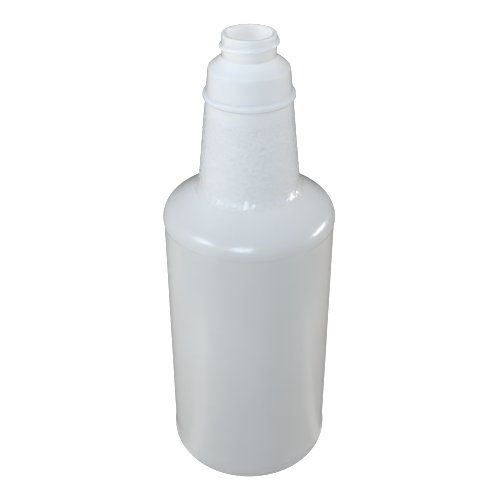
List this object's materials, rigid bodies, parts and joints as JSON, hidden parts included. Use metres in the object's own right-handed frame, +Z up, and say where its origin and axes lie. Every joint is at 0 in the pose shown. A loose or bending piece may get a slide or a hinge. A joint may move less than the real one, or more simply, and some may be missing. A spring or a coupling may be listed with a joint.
{
  "type": "graduated plastic bottle",
  "caption": "Tall round blow-moulded bottle in milky natural plastic, with a tapered textured neck, a neck bead, a threaded mouth and a raised fill scale on the back of its label panel.",
  "frame": {"origin": "centre of the base, in the plane of the ring that the bottle stands on", "axes": "+Z up the bottle's axis and out of the mouth, -Y the plain front of the label panel, +Y the fill scale on its back"},
  "size_m": [0.0868, 0.0868, 0.244],
  "materials": {
    "natural_plastic": "milky translucent unpigmented polyethylene, satin, with a stippled neck"
  },
  "bodies": {
    "root": {"bottle": "natural_plastic"}
  },
  "joints": []
}
